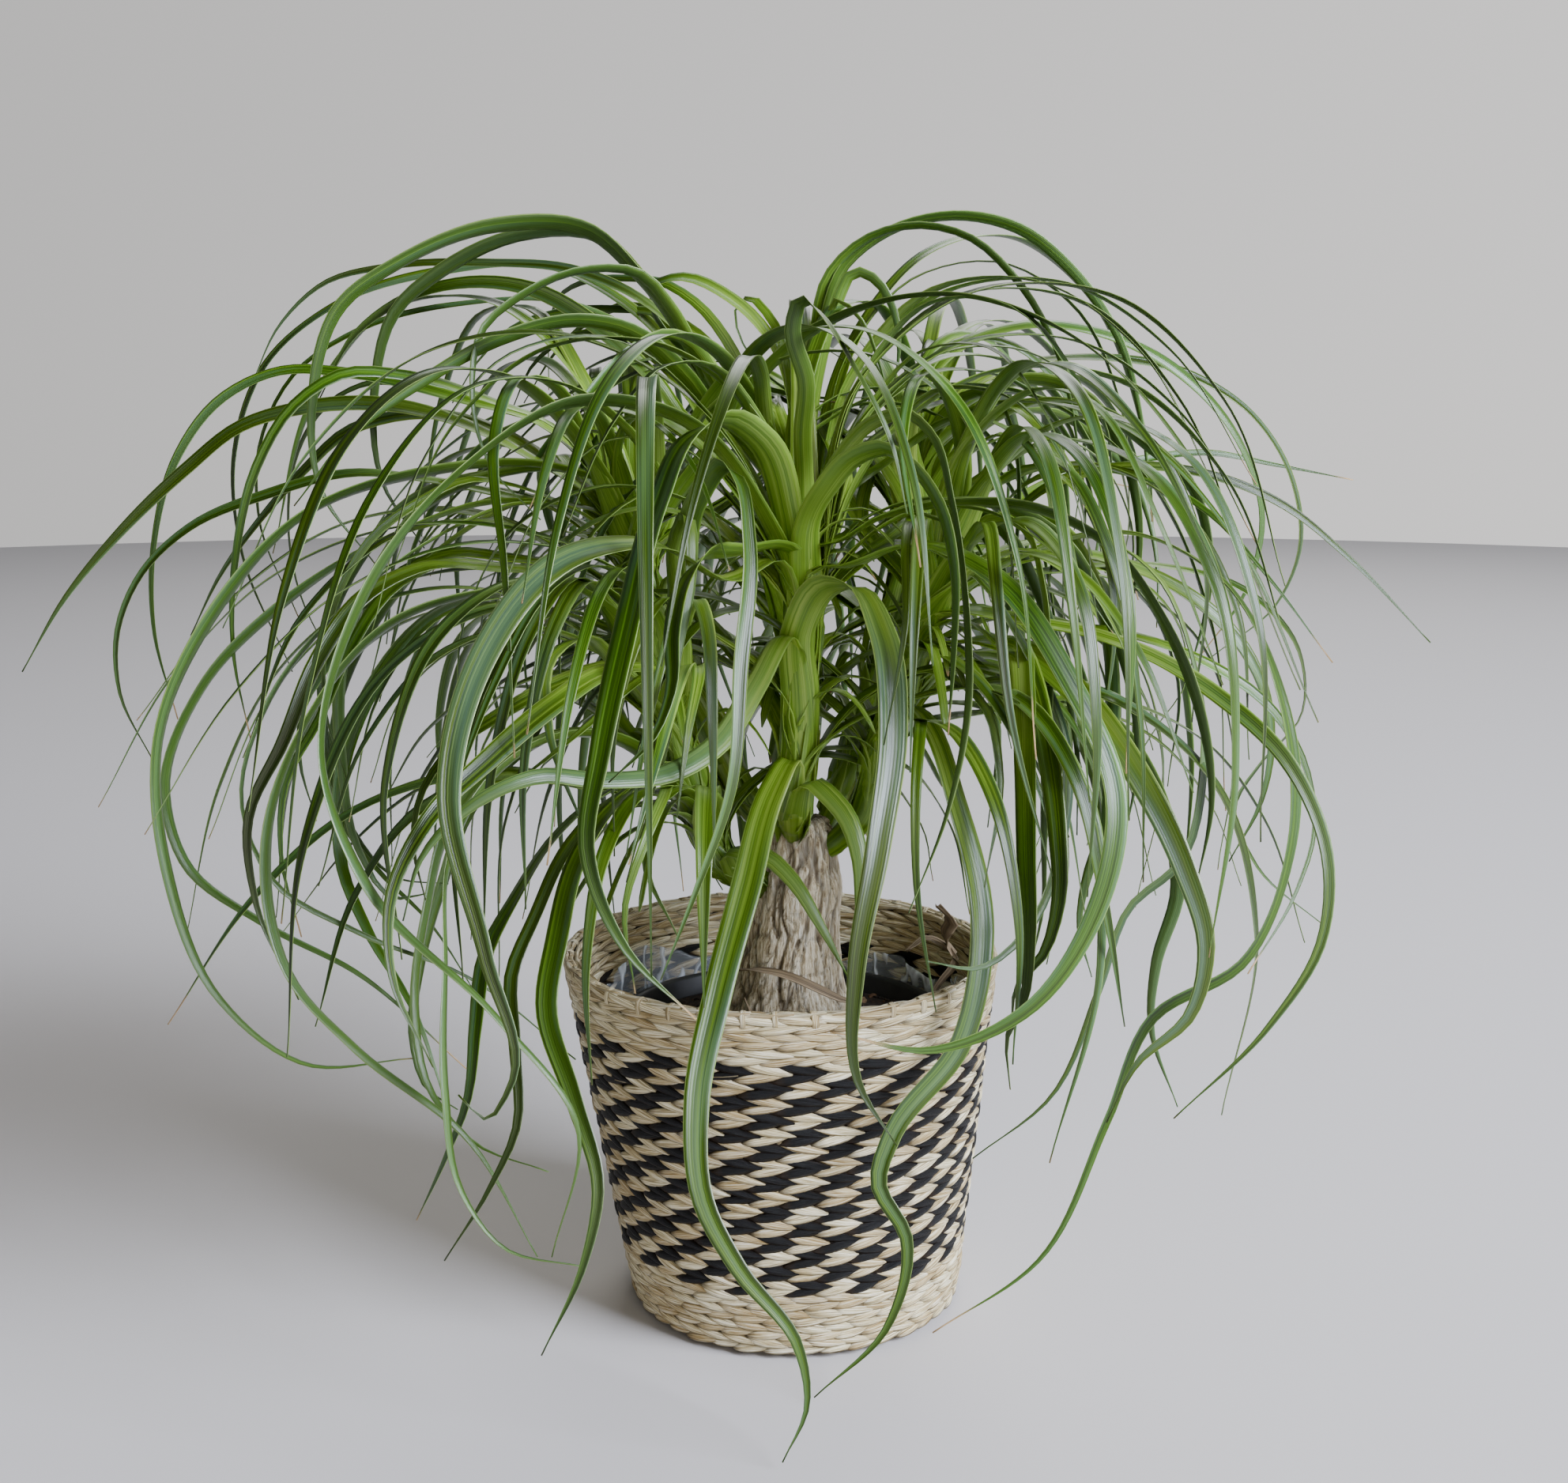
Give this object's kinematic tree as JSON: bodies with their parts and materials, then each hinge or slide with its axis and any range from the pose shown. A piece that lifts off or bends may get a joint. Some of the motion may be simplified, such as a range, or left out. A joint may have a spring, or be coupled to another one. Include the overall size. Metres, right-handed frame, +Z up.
{
  "type": "potted ponytail palm",
  "caption": "Branched ponytail palm with long arching strap leaves, in a nursery pot inside a plastic-lined two-tone woven basket.",
  "frame": {"origin": "middle of the basket's flat underside", "axes": "+Z up, -Y is the front seen in the picture, +X is the picture's right"},
  "size_m": [0.714, 0.5706, 0.5526],
  "materials": {
    "seagrass": "matt dried seagrass, natural and black dyed strands twined in chevrons",
    "clear_film": "clear glossy crumpled film",
    "pot_plastic": "matt moulded black plastic",
    "soil": "loose dark potting soil",
    "bark": "rough grey-brown fissured bark",
    "leaf": "satin strap leaf, green with fine lengthwise veins and pale margins"
  },
  "bodies": {
    "root": {"woven_basket": "seagrass", "plastic_liner": "clear_film", "nursery_pot": "pot_plastic", "potting_soil": "soil", "trunk": "bark", "shoot_front": "leaf", "shoot_front_left": "leaf", "shoot_left": "leaf", "shoot_back": "leaf", "shoot_right": "leaf", "shoot_back_right": "leaf"}
  },
  "joints": []
}
